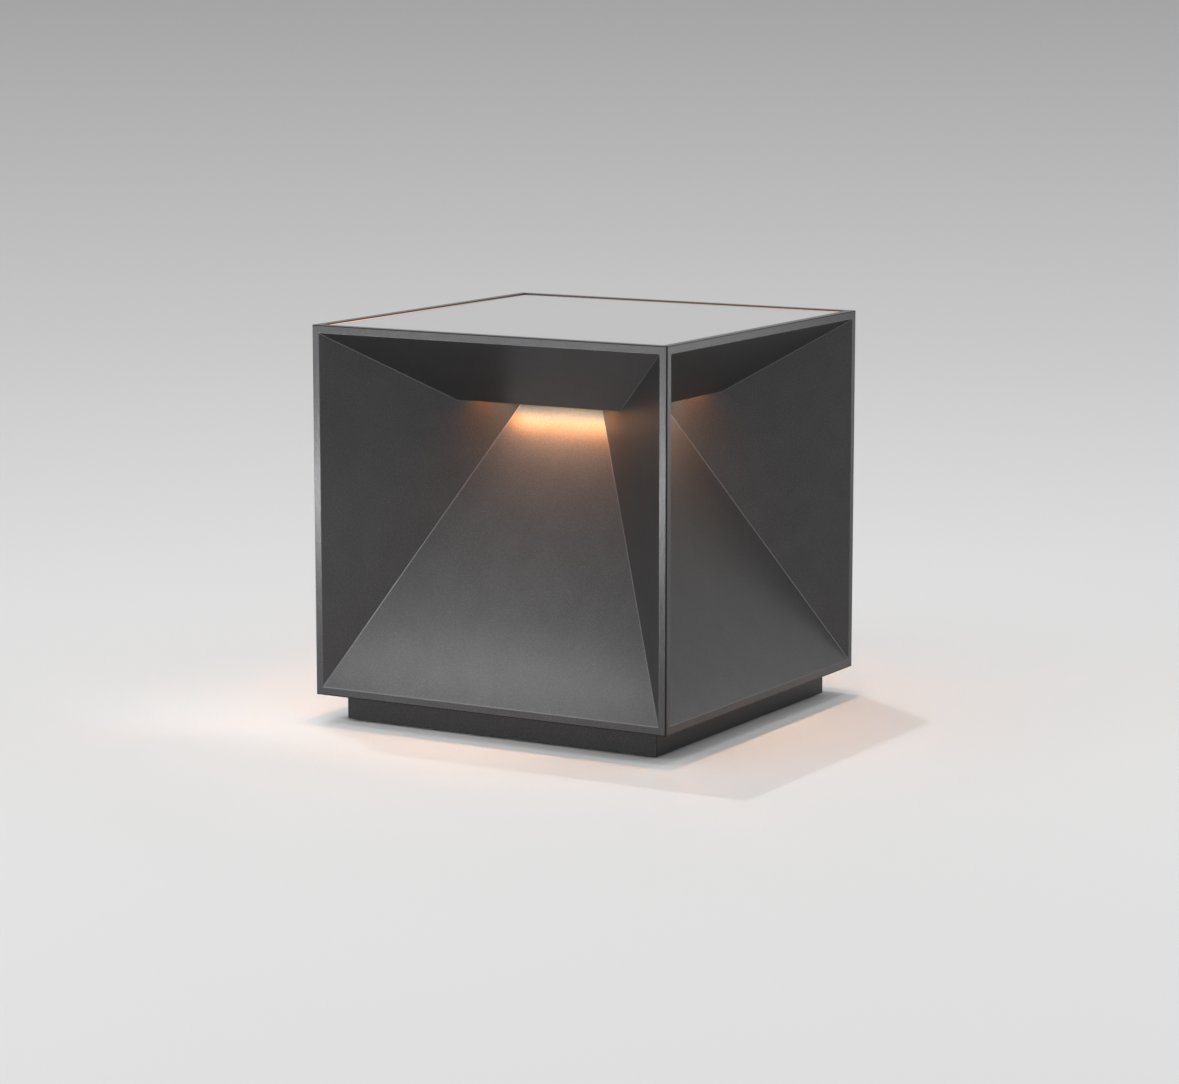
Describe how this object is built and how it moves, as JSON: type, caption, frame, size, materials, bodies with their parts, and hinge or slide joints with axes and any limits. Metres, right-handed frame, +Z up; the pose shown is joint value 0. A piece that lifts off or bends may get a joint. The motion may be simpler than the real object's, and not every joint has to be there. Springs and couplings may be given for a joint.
{
  "type": "cordless table lamp",
  "caption": "Square cordless table lamp: cast sides with deep faceted recesses lit from under their hoppers, satin glass top and a set-back plinth with battery, button and charging port.",
  "frame": {"origin": "on the table, under the middle of the lamp", "axes": "+Z up, the front side faces -Y, the charging port and the button face +Y"},
  "size_m": [0.2, 0.2, 0.2],
  "materials": {
    "cast_side": "cast, with a fine anthracite powder coat",
    "plinth_cast": "cast, with a fine anthracite powder coat",
    "satin_glass": "satin light grey, printed on its back",
    "seal": "translucent silicone",
    "steel": "zinc plated",
    "base_steel": "black coated sheet steel",
    "aluminium": "milled",
    "opal": "opal diffuser",
    "circuit_board": "green solder mask",
    "led": "phosphor",
    "black_plastic": "moulded",
    "white_plastic": "moulded",
    "rubber": "moulded",
    "cell": "shrink wrap on a steel can",
    "nickel": "nickel plated strip",
    "lead_sheath": "silicone sheath",
    "dark_cast": "cast, with a fine anthracite powder coat"
  },
  "bodies": {
    "lamp": {"side_shell_front": "cast_side", "side_shell_right": "cast_side", "side_shell_back": "cast_side", "side_shell_left": "cast_side", "top_glass": "satin_glass", "top_gasket": "seal", "corner_brackets": "aluminium", "bracket_screws": "steel", "lamp_cover": "dark_cast", "cover_screws": "steel", "led_windows": "opal", "led_board": "circuit_board", "led_modules": "led", "led_board_screws": "steel", "led_socket": "white_plastic", "lamp_carrier": "aluminium", "carrier_screws": "steel", "pyramid_seal": "rubber", "centre_column": "steel", "column_nut": "steel", "led_lead": "lead_sheath", "plinth_tray": "plinth_cast", "base_plate": "base_steel", "base_screws": "steel", "rubber_feet": "rubber", "shell_screws": "steel", "battery_holder": "black_plastic", "battery_cells": "cell", "battery_contacts": "nickel", "battery_strap": "nickel", "holder_screws": "steel", "driver_board": "circuit_board", "driver_components": "black_plastic", "driver_screws": "steel", "charge_board": "circuit_board", "charge_components": "black_plastic", "charge_screws": "steel", "usb_socket": "steel", "battery_lead": "lead_sheath", "link_lead": "lead_sheath", "cable_clips": "white_plastic", "switch_body": "black_plastic", "door_pin": "steel"},
    "button": {"power_button": "black_plastic", "switch_plunger": "white_plastic"},
    "door": {"port_door": "black_plastic"}
  },
  "joints": [
    {"name": "button_press", "type": "slide", "parent": "lamp", "child": "button", "axis": [0, -1, 0], "range_m": [0, 0.001], "stiffness_N_per_m": 800, "springref_m": -0.0005},
    {"name": "door_swing", "type": "hinge", "parent": "lamp", "child": "door", "pos_m": [0.0163, 0.0874, 0.00757], "axis": [0, 0, 1], "range_deg": [0, 95]}
  ]
}
